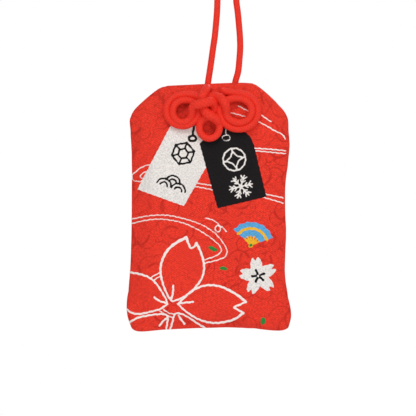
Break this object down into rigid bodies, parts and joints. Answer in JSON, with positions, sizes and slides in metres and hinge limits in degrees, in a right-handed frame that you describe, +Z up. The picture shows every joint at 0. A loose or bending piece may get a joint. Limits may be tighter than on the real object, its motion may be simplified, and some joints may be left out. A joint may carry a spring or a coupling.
{
  "type": "omamori charm",
  "caption": "Flat brocade amulet pouch with sloping shoulders, a cord tied on its front in a double-looped knot, a cord loop to hang it by and a wrapped wooden tablet inside.",
  "frame": {"origin": "inside of the hanging loop's crown, where a hook or finger carries the charm", "axes": "+Z up along the hanging charm, -Y out of the knotted front face, +X to the right of someone who looks at the front"},
  "size_m": [0.05, 0.0132, 0.1162],
  "materials": {
    "cord": "braided vermilion silk-like cord",
    "brocade": "vermilion twill brocade with woven clouds, blossoms and tags",
    "interlining": "unbleached stiff interlining",
    "card": "plain grey board",
    "wood": "bare planed softwood",
    "paper": "plain white paper",
    "thread": "red sewing thread"
  },
  "bodies": {
    "hanging_loop": {"hanging_loop": "cord"},
    "pouch": {"front_panel": "brocade", "back_panel": "brocade", "front_interlining": "interlining", "back_interlining": "interlining", "stiffener_card": "card", "inner_cord_left": "cord", "inner_cord_right": "cord", "left_seam_thread": "thread", "bottom_seam_thread": "thread", "right_seam_thread": "thread"},
    "knot": {"double_knot": "cord"},
    "amulet": {"amulet_tablet": "wood", "amulet_wrapper": "paper"}
  },
  "joints": [
    {"name": "pouch_swing", "type": "hinge", "parent": "hanging_loop", "child": "pouch", "pos_m": [0, 0, -0.0379], "axis": [1, 0, 0], "range_deg": [-75, 75]},
    {"name": "knot_lift", "type": "hinge", "parent": "pouch", "child": "knot", "pos_m": [-0.00555, -0.0023, -0.0395], "axis": [-1, 0, 0], "range_deg": [0, 45]},
    {"name": "amulet_shift", "type": "slide", "parent": "pouch", "child": "amulet", "axis": [0, 0, 1], "range_m": [0, 0.002]}
  ]
}
